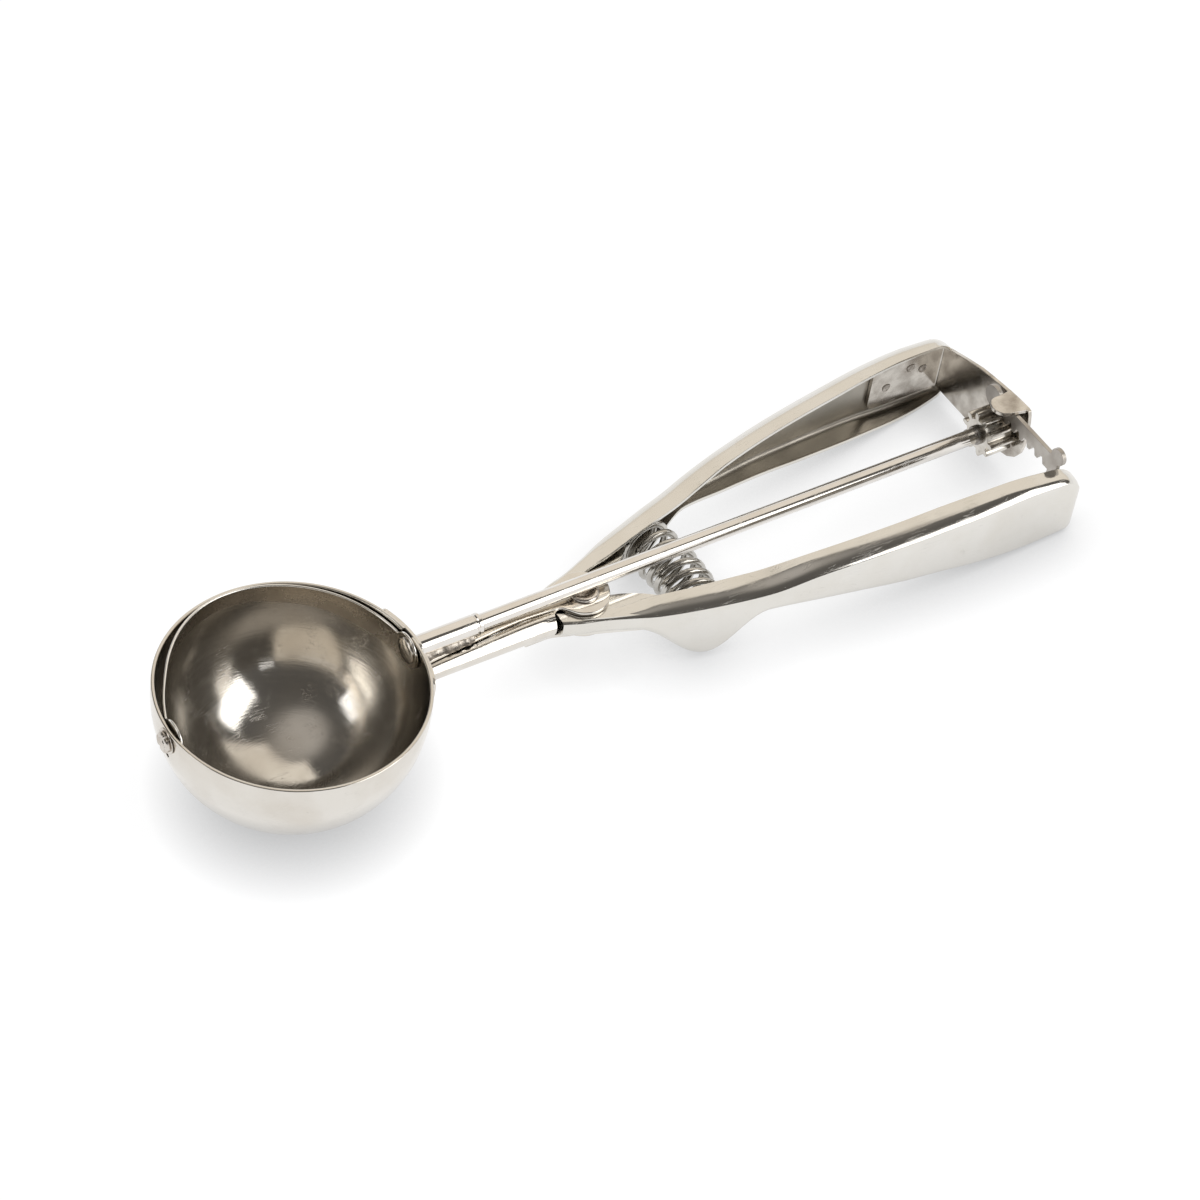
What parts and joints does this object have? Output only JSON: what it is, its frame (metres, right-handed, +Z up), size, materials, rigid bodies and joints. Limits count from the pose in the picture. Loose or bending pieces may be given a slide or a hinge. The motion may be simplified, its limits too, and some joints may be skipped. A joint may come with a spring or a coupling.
{
  "type": "lever ice cream scoop",
  "caption": "Lever ice cream scoop in stainless steel: round bowl, fixed and squeezed channel handles, coil spring, and a rack and pinion that turn a scraper band.",
  "frame": {"origin": "on the table, under the middle of the tool's box", "axes": "+X from the bowl towards the handle ends, +Y towards the fixed handle, +Z up; the tool lies on the table on its bowl and both handles, so its spindle falls by 5.6 degrees towards +X"},
  "size_m": [0.209, 0.056, 0.0346],
  "materials": {
    "bowl_steel": "mirror polish with fine turned marks inside",
    "handle_steel": "polished, with fine scratches",
    "strip_steel": "satin, as stamped",
    "pin_steel": "drawn bar, polished",
    "pinion_steel": "hobbed teeth, bright",
    "spring_steel": "drawn wire, bright",
    "weld_metal": "heat-tinted braze and spot welds, matte"
  },
  "bodies": {
    "frame": {"bowl": "bowl_steel", "shank": "handle_steel", "shank_weld": "weld_metal", "spindle_sleeve": "pin_steel", "sleeve_braze": "weld_metal", "tip_pin": "pin_steel", "tip_washer": "pin_steel", "pivot_rivet": "pin_steel", "rivet_washer": "pin_steel", "fixed_handle": "handle_steel", "rack_bracket": "strip_steel", "bracket_welds": "weld_metal", "return_spring": "spring_steel"},
    "squeeze_handle": {"squeeze_handle": "handle_steel", "rack": "strip_steel", "rack_welds": "weld_metal"},
    "spindle": {"spindle_rod": "pin_steel", "scraper": "strip_steel", "pinion": "pinion_steel", "pinion_collar": "pinion_steel", "rod_clip": "spring_steel"}
  },
  "joints": [
    {"name": "squeeze", "type": "hinge", "parent": "frame", "child": "squeeze_handle", "pos_m": [-0.00686, 0, 0.01554], "axis": [0.0976, 0, 0.9952], "range_deg": [0, 6.5], "stiffness_Nm_per_rad": 0.8, "springref_deg": -20.05, "deforming": ["return_spring"]},
    {"name": "spindle_turn", "type": "hinge", "parent": "frame", "child": "spindle", "pos_m": [0.02456, 0, 0.01824], "axis": [-0.9952, 0, 0.0976], "range_deg": [0, 154.1]}
  ],
  "couplings": [
    {"joint": "spindle_turn", "follows": "squeeze", "ratio": 23.657}
  ]
}
